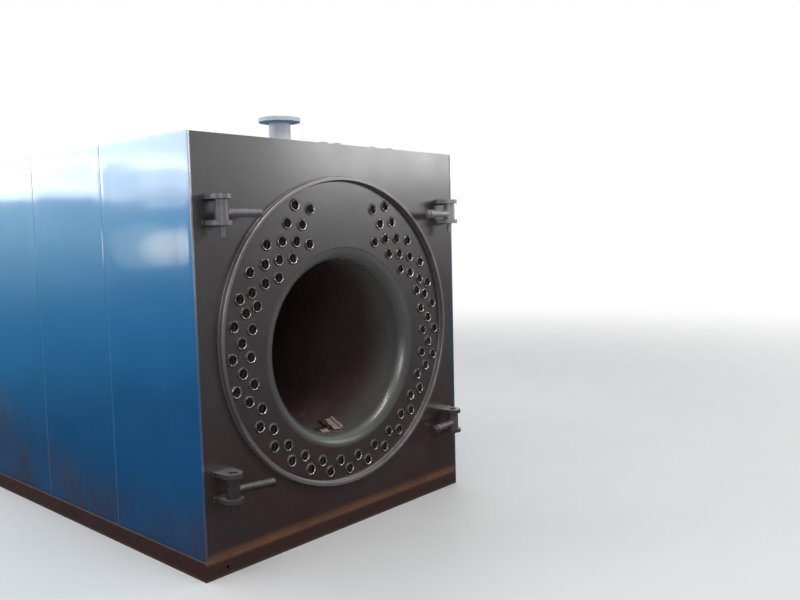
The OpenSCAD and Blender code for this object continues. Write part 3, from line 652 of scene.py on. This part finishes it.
def bead(name, path, normals, radius, seed=0.0, material=WELD):
    """A rippled weld bead along a closed path; normals point away from the corner that it fills."""
    count = len(path)
    points = []
    run = 0.0
    for i, (place, normal) in enumerate(zip(path, normals)):
        before, after = path[i - 1], path[(i + 1) % count]
        along = (after - before).normalized()
        run += (place - before).length
        up = normal.normalized()
        side = along.cross(up).normalized()
        ripple = 1 + BEAD_RIDGE * math.sin(run * BEAD_RIPPLE) + BEAD_SWELL * lump(run * 30, seed, 1.3)
        for k in range(BEAD_POINTS):
            a = math.pi / 2 + BEAD_ARC * (k / (BEAD_POINTS - 1) - 0.5)
            offset = side * math.cos(a) + up * math.sin(a)
            points.append(tuple(place + offset * radius * ripple))
    faces = []
    for i in range(count):
        a, b = i * BEAD_POINTS, ((i + 1) % count) * BEAD_POINTS
        for k in range(BEAD_POINTS - 1):
            faces.append((a + k, b + k, b + k + 1, a + k + 1))
    add_mesh(name, points, faces, "boiler", [material])


def ring_path(radius, out):
    """Circle on the front plate round the middle of the ring; out is 1 outside of it and -1 inside."""
    path, normals = [], []
    for i in range(RING_STEPS):
        a = math.tau * i / RING_STEPS
        radial = Vector((math.cos(a), 0, math.sin(a)))
        path.append(Vector((0, FRONT, SHELL_Z)) + radial * radius)
        normals.append(radial * out + Vector((0, -1, 0)))
    return path, normals


def lug_path(x, high):
    """Outline of a lug's foot on the front plate, for a lug with its top at this height."""
    low = high - LUG_THICK
    middle = (high + low) / 2
    corners = [(x - LUG_HALF, high), (x + LUG_HALF, high), (x + LUG_HALF, low), (x - LUG_HALF, low)]
    path, normals = [], []
    for a, b in zip(corners, corners[1:] + corners[:1]):
        steps = LONG_STEPS if a[1] == b[1] else SHORT_STEPS
        for i in range(steps):
            t = i / steps
            place = Vector((a[0] + (b[0] - a[0]) * t, FRONT, a[1] + (b[1] - a[1]) * t))
            path.append(place)
            normals.append(Vector((
                ((place.x - x) / LUG_HALF) ** 3, -1, ((place.z - middle) / (LUG_THICK / 2)) ** 3,
            )))
    return path, normals


path, normals = ring_path(RING_R + RING_LIFT, 1)
bead("ring_outer_weld", path, normals, RING_BEAD, material=MATERIALS["charcoal_primer"])
path, normals = ring_path(RING_R - SHELL_WALL - RING_LIFT, -1)
bead("ring_inner_weld", path, normals, RING_BEAD, seed=3.0, material=MATERIALS["charcoal_primer"])

for key, (pin, _) in HINGES.items():
    top = pin[2] + LUG_RISE
    for which, high in (("top", top), ("bottom", top - LUG_PITCH)):
        path, normals = lug_path(pin[0], high)
        bead(f"lug_weld_{key}_{which}", path, normals, LUG_BEAD, seed=high * 7 + pin[0])


# ---------------------------------------------------------------- swing bolt threads
THREAD_START = 0.092  # from the pin, along the rod
THREAD_END = ROD_LEN + 0.0004
THREAD_PITCH = 0.004
THREAD_DEPTH = 0.0011
THREAD_FOOT = ROD_R + 0.0002  # radius at the root of the thread
RUN_IN, RUN_OUT = 0.004, 0.002  # lengths over which the thread rises at its start and falls at its end
RUN_OUT_LEFT = 0.2  # share of its depth that is left at its end
TIP_LEN = 0.0006
THREAD_STEPS = int((THREAD_END - THREAD_START) / THREAD_PITCH * 5)
THREAD_AROUND = 22


def thread(key, pin, turn):
    """Helical thread on the outer part of a swing bolt's rod, closed by a flat cone at its tip."""
    sign = math.copysign(1, pin[0])
    pivot = Vector(pin)
    along = Vector((-sign * math.cos(turn), -math.sin(turn), 0))
    across = Vector((along.y, -along.x, 0))
    up = Vector((0, 0, 1))
    points = []
    for i in range(THREAD_STEPS + 1):
        d = THREAD_START + (THREAD_END - THREAD_START) * i / THREAD_STEPS
        fade = min(1.0, (d - THREAD_START) / RUN_IN, (THREAD_END - d) / RUN_OUT + RUN_OUT_LEFT)
        for k in range(THREAD_AROUND):
            a = math.tau * k / THREAD_AROUND
            phase = (d / THREAD_PITCH - k / THREAD_AROUND) % 1.0
            ridge = 1 - abs(phase * 2 - 1)
            radius = THREAD_FOOT + THREAD_DEPTH * ridge * fade
            points.append(tuple(pivot + along * d + (across * math.cos(a) + up * math.sin(a)) * radius))
    faces = loop_faces(THREAD_STEPS + 1, THREAD_AROUND)
    tip, last = len(points), THREAD_STEPS * THREAD_AROUND
    points.append(tuple(pivot + along * (THREAD_END + TIP_LEN)))
    faces += [(last + k, last + (k + 1) % THREAD_AROUND, tip) for k in range(THREAD_AROUND)]
    add_mesh(f"rod_thread_{key}", points, faces, f"bolt_{key}", [MATERIALS["bolt_steel"]])


for key, (pin, turn) in HINGES.items():
    thread(key, pin, turn)


# ---------------------------------------------------------------- side panels
BEND_STEPS = 5
STEPS_ALONG, STEPS_UP = 34, 84
CALM_ALONG, CALM_UP = 0.09, 0.12  # width at the edges of a sheet where its waves fade out
WAVE, BANDS = 0.0022, 0.0007  # height of its slow waves and of its faint bands
SUNK = 0.0008  # how far its middle lies under its edges
# Across the light strip in a seam, which is painted light, as shares of its half width, and how deep it lies
# there under the panels' faces
STRIP_PROFILE = ((-1.0, 0.0030), (-0.7, 0.0008), (0.0, 0.0006), (0.7, 0.0008), (1.0, 0.0030))
STRIP_LAP = 0.0036  # over the edge of the panel on either side
STRIP_SHORT = 0.003  # at its top and at its foot
STRIP_SAG = 0.0003
STRIP_ROWS = 60


def sheet_profile(length, steps):
    """Distances along one side of a folded sheet, with the height of its surface there."""
    rows = []
    for i in range(BEND_STEPS + 1):
        a = math.pi / 2 * i / BEND_STEPS
        rows.append((BEND * (1 - math.cos(a)), FOLD - BEND + BEND * math.sin(a)))
    flat = [(BEND + (length - 2 * BEND) * i / steps, FOLD) for i in range(1, steps)]
    return rows + flat + [(length - d, h) for d, h in reversed(rows)]


def sheet_wave(u, v, length, height, seed):
    """Slow waves and faint bands of a sheet, which its folded edges hold flat."""
    hold = min(1.0, min(u, length - u) / CALM_ALONG) * min(1.0, min(v, height - v) / CALM_UP)
    hold = max(0.0, hold)
    slow = lump(u * 1.6 + seed, v * 1.2, 0.0) * WAVE
    bands = lump(u * 0.7 + seed, v * 5.2, 9.0) * BANDS
    return hold * hold * (slow + bands - SUNK)


def folded_panel(name, node, origin, along, up, out, length, height, seed):
    """A folded side panel with its waves, which replaces the plain one."""
    us = sheet_profile(length, STEPS_ALONG)
    vs = sheet_profile(height, STEPS_UP)
    points = []
    for v, hv in vs:
        for u, hu in us:
            lift = min(hu, hv) + sheet_wave(u, v, length, height, seed)
            points.append(tuple(origin + along * u + up * v + out * lift))
    wide, tall = len(us), len(vs)
    faces = grid_faces(tall, wide)
    rim = list(range(wide))
    rim += [row * wide + wide - 1 for row in range(1, tall)]
    rim += [(tall - 1) * wide + i for i in range(wide - 2, -1, -1)]
    rim += [row * wide for row in range(tall - 2, 0, -1)]
    start = len(points)
    for i, index in enumerate(rim):
        place = Vector(points[index])
        points.append(tuple(place - out * (place - origin).dot(out)))
        j = (i + 1) % len(rim)
        faces.append((index, start + i, start + j, rim[j]))
    if along.cross(up).dot(out) < 0:
        faces = turned(faces)
    piece = add_mesh(name, points, faces, "boiler", [MATERIALS["casing_blue"]])
    solid = piece.modifiers.new("thickness", "SOLIDIFY")
    solid.thickness = SHEET
    solid.offset = -1.0
    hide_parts(node)


def seam_strip(side, sign, name, before, after):
    """Light strip in the gap between the boxes of two side panels, just under their faces, as painted light
    in place of the gap's shade.
    """
    face = before[0][0] if sign < 0 else before[1][0]
    gap_low, gap_high = before[1][1], after[0][1]
    half = (gap_high - gap_low) / 2 + STRIP_LAP
    middle = (gap_low + gap_high) / 2
    foot, top = before[0][2] + STRIP_SHORT, before[1][2] - STRIP_SHORT
    points = []
    for i in range(STRIP_ROWS + 1):
        z = foot + (top - foot) * i / STRIP_ROWS
        sag = STRIP_SAG * lump(z * 3.0, sign, middle)
        for share, depth in STRIP_PROFILE:
            points.append((face - sign * (depth + sag), middle + half * share, z))
    faces = grid_faces(STRIP_ROWS + 1, len(STRIP_PROFILE))
    if sign > 0:
        faces = turned(faces)
    add_mesh(f"seam_strip_{side}_{name}", points, faces, "boiler", [STRIP])


for side, sign in SIDES:
    for number, where in enumerate(PANELS):
        node = f"side_panel_{side}_{where}"
        low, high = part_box(node)
        edge = low[0] if sign < 0 else high[0]
        origin = Vector((edge - sign * FOLD, low[1], low[2]))
        folded_panel(
            f"{side}_{where}_sheet", node, origin, Vector((0, 1, 0)), Vector((0, 0, 1)), Vector((sign, 0, 0)),
            high[1] - low[1], high[2] - low[2], number * 3.1 + sign,
        )

for side, sign in SIDES:
    boxes = [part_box(f"side_panel_{side}_{where}") for where in PANELS]
    seam_strip(side, sign, "front", boxes[0], boxes[1])
    seam_strip(side, sign, "rear", boxes[1], boxes[2])


# ---------------------------------------------------------------- offcuts left in the furnace mouth
SLAT_STEPS = 10
SLAT_GAP = 0.002  # under a strip, which never lies quite flat
SLAT_WANDER = 0.006  # how far its sides leave the straight line
SLAT_SKEW = 0.010  # how far its ends are from square, from side to side
SLAT_WARP = 0.002
SLAT_EDGE = 0.0012
FLAKES = 9
FLAKE_SIZES = 0.018, 0.045
FLAKE_SHAPE = 0.55  # width for length
FLAKE_THICK = 0.003
FLAKE_LIFT = 0.008


def furnace_floor(x):
    return MOUTH_Z - math.sqrt(FURNACE_R ** 2 - x * x)


def slat(name, start, end, wide, thick, lift, material, seed):
    """Thin cut strip lying on the furnace floor, slightly bent, with ragged ends."""
    start, end = Vector(start), Vector(end)
    along = (end - start).normalized()
    side = Vector((-along.y, along.x))
    length = (end - start).length
    points = []
    for i in range(SLAT_STEPS + 1):
        t = i / SLAT_STEPS
        ragged = SLAT_WANDER * lump(seed, t * 4, 2.0)
        for u, v in ((-0.5, 0), (-0.5, 1), (0.5, 1), (0.5, 0)):
            skew = SLAT_SKEW * u if i in (0, SLAT_STEPS) else 0
            flat = start + along * (length * t + skew) + side * (u * wide + ragged)
            rise = SLAT_GAP + v * thick + lift * t * t + SLAT_WARP * lump(seed, t * 3, u)
            points.append((flat.x, flat.y, furnace_floor(flat.x) + rise))
    faces = loop_faces(SLAT_STEPS + 1, 4)
    faces += [(3, 2, 1, 0), tuple(SLAT_STEPS * 4 + k for k in range(4))]
    piece = add_mesh(name, points, faces, "boiler", [material], smooth=False)
    bevel = piece.modifiers.new("edges", "BEVEL")
    bevel.width = SLAT_EDGE
    bevel.segments = 2


slat("offcut_wide", (0.098, -0.848), (0.006, -1.018), 0.032, 0.006, 0.004, SCRAP, 1.0)
slat("offcut_narrow", (0.112, -0.862), (0.030, -1.024), 0.012, 0.014, 0.006, SCRAP, 4.0)
slat("offcut_bar", (0.062, -0.815), (-0.006, -0.950), 0.010, 0.008, 0.006, FLAKE, 7.0)
rng = random.Random(11)
for number in range(FLAKES):
    x = rng.uniform(-0.11, 0.05)
    y = -0.90 - 0.10 * rng.random() + 0.35 * x
    turn = rng.uniform(-1.2, 1.2)
    size = rng.uniform(*FLAKE_SIZES)
    slat(
        f"mill_flake_{number + 1}", (x, y), (x + size * math.cos(turn), y + size * math.sin(turn)),
        size * FLAKE_SHAPE, FLAKE_THICK, FLAKE_LIFT * rng.random(), SCRAP if number % 4 == 3 else FLAKE,
        number * 2.3,
    )


# ---------------------------------------------------------------- camera
# Solved from the corners of the front plate and from the ring
camera_data = bpy.data.cameras.new("camera")
camera_data.lens = 35.77
camera_data.sensor_width = 36.0
camera_data.clip_end = 200.0
camera = bpy.data.objects.new("camera", camera_data)
bpy.context.collection.objects.link(camera)
camera.matrix_world = Matrix((
    (0.6647, 0.0773, -0.7431, -2.806),
    (-0.7467, 0.0380, -0.6641, -3.990),
    (-0.0231, 0.9963, 0.0829, 1.499),
    (0, 0, 0, 1),
))
bpy.context.scene.camera = camera


# ---------------------------------------------------------------- floor, world and lamps
FLOOR_HALF = 60
FLOOR_FADE = 3.0, 12.0  # distances from the middle of the boiler
WHITE = (1.0, 1.0, 1.0)


def make_floor():
    """Pale floor that fades out at some distance from the boiler."""
    s = Shader("floor")
    colour = s.mix(s.noise(0.9, 4.0, 0.6), (0.66, 0.66, 0.655), (0.72, 0.72, 0.715))
    away = s.distance(s.axis("X"), s.axis("Y"))
    s.give("Alpha", s.ease(away, *FLOOR_FADE, 1.0, 0.0))
    return s.finish(colour, s.ease(s.noise(3.0, 4.0, 0.6), 0.2, 0.8, 0.45, 0.6))


floor_mesh = bpy.data.meshes.new("floor")
corners = [(-1, -1), (1, -1), (1, 1), (-1, 1)]
floor_mesh.from_pydata([(x * FLOOR_HALF, y * FLOOR_HALF, 0.0) for x, y in corners], [], [(0, 1, 2, 3)])
floor_mesh.materials.append(make_floor())
floor = bpy.data.objects.new("floor", floor_mesh)
bpy.context.collection.objects.link(floor)
floor.visible_glossy = False

# The camera sees white, diffuse rays see an even grey, and reflections see a bright hall above the
# horizon and a darker one below it
world = bpy.data.worlds.new("studio")
bpy.context.scene.world = world
world.use_nodes = True
hall = Nodes(world.node_tree)
way = hall.add("ShaderNodeSeparateXYZ")
hall.feed(way.inputs[0], hall.add("ShaderNodeTexCoord").outputs["Generated"])
to_rear, rise = way.outputs[1], way.outputs[2]
front_side = hall.mix(hall.ease(rise, -0.38, -0.03), (0.012, 0.008, 0.010), (0.20, 0.16, 0.15))
front_side = hall.mix(hall.ease(rise, -0.03, 0.05), front_side, WHITE)
rear_side = hall.mix(hall.ease(rise, -0.22, -0.09), (0.006, 0.026, 0.048), (0.020, 0.250, 0.440))
rear_side = hall.mix(hall.ease(rise, -0.10, 0.045), rear_side, (0.470, 0.930, 0.980))
rear_side = hall.mix(hall.ease(rise, 0.030, 0.055), rear_side, WHITE)
mirrored = hall.mix(hall.ease(to_rear, -0.2, 0.2), front_side, rear_side)
ray = hall.add("ShaderNodeLightPath")
bounced = hall.larger(ray.outputs["Is Glossy Ray"], ray.outputs["Is Transmission Ray"])
plain = hall.mix(bounced, (0.34, 0.35, 0.37), mirrored)
sky = hall.add("ShaderNodeBackground")
hall.feed(sky.inputs[0], hall.mix(ray.outputs["Is Camera Ray"], plain, WHITE))
hall.feed(hall.add("ShaderNodeOutputWorld").inputs[0], sky.outputs[0])


def lamp(name, place, target, wide, tall, glow, colour=WHITE, shape="RECTANGLE"):
    """Soft lamp with a flat face; glow is the brightness of that face."""
    data = bpy.data.lights.new(name, "AREA")
    data.shape = shape
    data.size = wide
    data.size_y = tall
    data.energy = glow * math.pi * wide * tall
    data.color = colour
    item = bpy.data.objects.new(name, data)
    bpy.context.collection.objects.link(item)
    item.location = place
    item.rotation_euler = (Vector(target) - Vector(place)).to_track_quat("-Z", "Y").to_euler()


# The windows behind the boiler on its left, which the side panels mirror
lamp("window_band", (-6.9, 9.5, 5.38), (-1.0, 0.0, 1.5), 11.0, 5.3, 3.8, (0.90, 1.0, 1.0))
lamp("window_sill", (-6.9, 9.9, 2.62), (-1.0, 0.4, 2.62), 11.0, 0.70, 2.1, (0.82, 0.99, 1.0))
lamp("window_far", (-4.25, 11.46, 2.75), (1.65, 1.96, 2.75), 4.9, 0.66, 2.2)
lamp("window_foot", (-4.60, 11.30, 2.40), (1.30, 1.80, 2.40), 4.6, 0.24, 0.9)
lamp("window_near", (-9.26, 8.36, 2.76), (-3.36, -1.14, 2.76), 5.3, 0.64, 1.1)

# The soft bright patch in the front panel
PALE_GREEN, WARM = (0.96, 1.0, 0.86), (1.0, 0.84, 0.62)
for wide, glow in ((1.30, 0.4), (1.10, 0.7), (0.90, 0.9), (0.70, 0.9)):
    lamp("hall_glow", (-6.06, 8.00, 1.42), (-0.9, -0.9, 1.44), wide, wide * 0.58, glow, PALE_GREEN, "ELLIPSE")
lamp("hall_glow_near", (-6.42, 7.80, 1.38), (-0.9, -0.9, 1.40), 0.95, 0.56, 0.9, WARM, "ELLIPSE")
lamp("hall_glow_core", (-6.40, 7.80, 1.41), (-0.9, -0.9, 1.42), 0.62, 0.36, 0.9, WARM, "ELLIPSE")
lamp("hall_tube", (-6.30, 7.80, 2.10), (-0.9, -0.9, 1.6), 0.55, 0.06, 2.5)

# The hall in front of the boiler and over it
lamp("window_strip", (-9.0, 1.0, 3.6), (-0.9, -1.0, 1.5), 0.8, 3.6, 6.0)
lamp("hall_front", (6.9, -6.9, 3.6), (0.2, -1.1, 1.5), 3.4, 2.4, 8.8)
lamp("hall_fill", (-6.0, -8.0, 4.0), (0.0, -1.0, 1.0), 5.0, 3.0, 4.5)
lamp("roof_light_front", (-0.2, -4.2, 6.2), (0.2, -1.1, 0.7), 2.6, 1.3, 8.5)
lamp("roof_light_near", (-2.4, -2.2, 6.4), (-0.4, -1.2, 0.8), 7.0, 0.4, 12.0)
lamp("roof_light_far", (0.6, 1.8, 6.4), (0.0, 0.5, 0.0), 5.0, 0.7, 8.0)

bpy.context.scene.view_settings.view_transform = "Standard"
